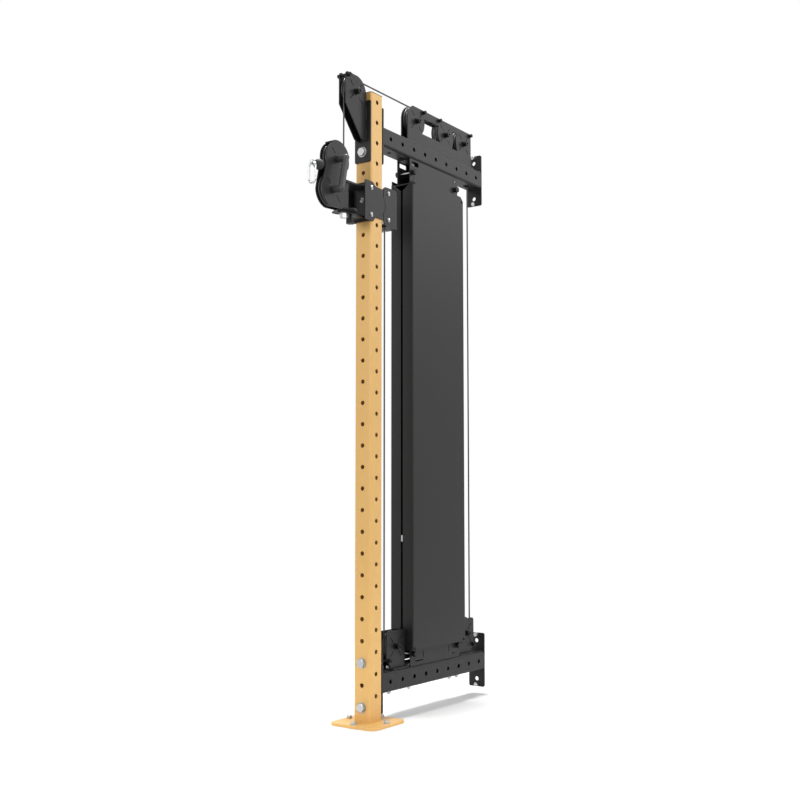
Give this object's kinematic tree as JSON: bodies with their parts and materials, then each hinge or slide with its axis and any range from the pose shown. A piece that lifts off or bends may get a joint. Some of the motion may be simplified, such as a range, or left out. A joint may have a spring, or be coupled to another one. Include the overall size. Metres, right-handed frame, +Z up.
{
  "type": "wall pulley weight stack",
  "caption": "Wall-mounted cable pulley station: a post with a sliding carriage and swivelling pulley arm, joined by beams to a covered weight stack and the wall.",
  "frame": {"origin": "on the floor under the axis of the upright, at the middle of the foot plate's underside", "axes": "+Y from the upright towards the wall, +X to the right of a user who faces the wall, +Z up"},
  "size_m": [0.21, 1.1336, 2.4223],
  "materials": {
    "post_gold": "satin",
    "black_coat": "fine textured satin",
    "black_bolts": "satin",
    "black_plastic": "matte",
    "zinc": "zinc plated",
    "polished_steel": "polished",
    "stack_iron": "satin paint",
    "rubber": "matte",
    "white_nylon": "satin",
    "pulley_nylon": "satin",
    "cable": "smooth nylon coat over steel wire"
  },
  "bodies": {
    "frame": {"upright": "post_gold", "foot_plate": "post_gold", "upright_cap": "black_plastic", "frame_bolts": "zinc", "upper_beam": "black_coat", "lower_beam": "black_coat", "front_bracket": "black_coat", "top_bracket": "black_coat", "lower_front_bracket": "black_coat", "lower_rear_bracket": "black_coat", "pulley_axles": "black_bolts", "bracket_spacers": "black_bolts", "upper_stack_bracket": "black_coat", "lower_stack_bracket": "black_coat", "left_cover": "black_coat", "right_cover": "black_coat", "cover_knobs": "black_plastic", "guide_rods": "polished_steel", "stack_bumpers": "rubber", "resting_plates": "stack_iron", "cable_top_run": "cable", "cable_rear_run": "cable"},
    "lift": {"lifted_plates": "stack_iron", "top_plate": "stack_iron", "guide_bushes": "white_nylon", "selector_stem": "polished_steel", "stack_clevis": "black_coat", "stack_axle": "zinc", "cable_stack_arc": "cable", "cable_stack_runs": "cable"},
    "selector_pin": {"selector_pin": "polished_steel"},
    "stack_pulley": {"stack_pulley": "pulley_nylon"},
    "front_pulley": {"front_pulley": "pulley_nylon"},
    "top_pulley_a": {"top_pulley_a": "pulley_nylon"},
    "top_pulley_b": {"top_pulley_b": "pulley_nylon"},
    "top_pulley_c": {"top_pulley_c": "pulley_nylon"},
    "lower_front_pulley": {"lower_front_pulley": "pulley_nylon"},
    "lower_rear_pulley": {"lower_rear_pulley": "pulley_nylon"},
    "carriage": {"carriage_front": "black_coat", "carriage_rear": "black_coat", "carriage_screws": "zinc", "carriage_glides": "white_nylon", "cable_anchor": "zinc", "pivot_bolt": "zinc", "pop_pin_housing": "zinc", "cable_front_run": "cable", "cable_anchor_run": "cable"},
    "pop_pin": {"pop_pin": "polished_steel"},
    "swivel_pin": {"swivel_pin": "black_plastic"},
    "arm": {"swing_arm": "black_coat", "grab_handle": "black_plastic", "arm_axles": "black_bolts", "cable_arm_arc": "cable"},
    "arm_upper_pulley": {"arm_upper_pulley": "pulley_nylon"},
    "arm_lower_pulley": {"arm_lower_pulley": "pulley_nylon"},
    "handle_end": {"ball_stop": "rubber", "swivel_eye": "zinc", "cable_handle_run": "cable"},
    "carabiner": {"carabiner": "polished_steel"},
    "carabiner_gate": {"carabiner_gate": "polished_steel"}
  },
  "joints": [
    {"name": "stack_lift", "type": "slide", "parent": "frame", "child": "lift", "axis": [0, 0, 1], "range_m": [0, 1], "deforming": ["cable_stack_runs"]},
    {"name": "selector_pin_slide", "type": "slide", "parent": "lift", "child": "selector_pin", "axis": [0, -1, 0], "range_m": [0, 0.1]},
    {"name": "stack_pulley_spin", "type": "hinge", "parent": "lift", "child": "stack_pulley", "pos_m": [0, 0.409, 0.8415], "axis": [1, 0, 0], "continuous": true},
    {"name": "front_pulley_spin", "type": "hinge", "parent": "frame", "child": "front_pulley", "pos_m": [0, -0.106, 2.359], "axis": [1, 0, 0], "continuous": true},
    {"name": "top_pulley_a_spin", "type": "hinge", "parent": "frame", "child": "top_pulley_a", "pos_m": [0, 0.301, 2.359], "axis": [1, 0, 0], "continuous": true},
    {"name": "top_pulley_b_spin", "type": "hinge", "parent": "frame", "child": "top_pulley_b", "pos_m": [0, 0.517, 2.359], "axis": [1, 0, 0], "continuous": true},
    {"name": "top_pulley_c_spin", "type": "hinge", "parent": "frame", "child": "top_pulley_c", "pos_m": [0, 0.663, 2.359], "axis": [1, 0, 0], "continuous": true},
    {"name": "lower_front_pulley_spin", "type": "hinge", "parent": "frame", "child": "lower_front_pulley", "pos_m": [0, 0.155, 0.265], "axis": [1, 0, 0], "continuous": true},
    {"name": "lower_rear_pulley_spin", "type": "hinge", "parent": "frame", "child": "lower_rear_pulley", "pos_m": [0, 0.663, 0.265], "axis": [1, 0, 0], "continuous": true},
    {"name": "carriage_slide", "type": "slide", "parent": "frame", "child": "carriage", "axis": [0, 0, 1], "range_m": [-1.52, 0], "deforming": ["cable_front_run", "cable_anchor_run"]},
    {"name": "pop_pin_slide", "type": "slide", "parent": "carriage", "child": "pop_pin", "axis": [1, 0, 0], "range_m": [0, 0.014]},
    {"name": "swivel_pin_slide", "type": "slide", "parent": "carriage", "child": "swivel_pin", "axis": [0, 0, 1], "range_m": [0, 0.008]},
    {"name": "arm_swivel", "type": "hinge", "parent": "carriage", "child": "arm", "pos_m": [0, -0.16, 1.948], "axis": [0, 0, 1], "range_deg": [-90, 90]},
    {"name": "arm_upper_pulley_spin", "type": "hinge", "parent": "arm", "child": "arm_upper_pulley", "pos_m": [0, -0.214, 2.07], "axis": [1, 0, 0], "continuous": true},
    {"name": "arm_lower_pulley_spin", "type": "hinge", "parent": "arm", "child": "arm_lower_pulley", "pos_m": [0, -0.239, 1.95], "axis": [1, 0, 0], "continuous": true},
    {"name": "handle_pull", "type": "slide", "parent": "arm", "child": "handle_end", "axis": [0, -1, 0], "range_m": [0, 2], "deforming": ["cable_handle_run"]},
    {"name": "carabiner_swing", "type": "hinge", "parent": "handle_end", "child": "carabiner", "pos_m": [0, -0.34198, 2.03044], "axis": [1, 0, 0], "range_deg": [-60, 15]},
    {"name": "gate_hinge", "type": "hinge", "parent": "carabiner", "child": "carabiner_gate", "pos_m": [0.015, -0.34198, 1.97884], "axis": [0, -1, 0], "range_deg": [0, 25], "stiffness_Nm_per_rad": 0.02, "springref_deg": -11.46}
  ],
  "couplings": [
    {"joint": "handle_pull", "follows": "stack_lift", "ratio": 2},
    {"joint": "front_pulley_spin", "follows": "stack_lift", "rad_per_m": 37.037},
    {"joint": "top_pulley_a_spin", "follows": "stack_lift", "rad_per_m": 37.037},
    {"joint": "stack_pulley_spin", "follows": "stack_lift", "rad_per_m": -18.518},
    {"joint": "arm_upper_pulley_spin", "follows": "stack_lift", "rad_per_m": -37.037},
    {"joint": "top_pulley_b_spin", "follows": "carriage_slide", "rad_per_m": -18.518},
    {"joint": "top_pulley_c_spin", "follows": "carriage_slide", "rad_per_m": -18.518},
    {"joint": "lower_front_pulley_spin", "follows": "carriage_slide", "rad_per_m": -18.518},
    {"joint": "lower_rear_pulley_spin", "follows": "carriage_slide", "rad_per_m": -18.518}
  ]
}
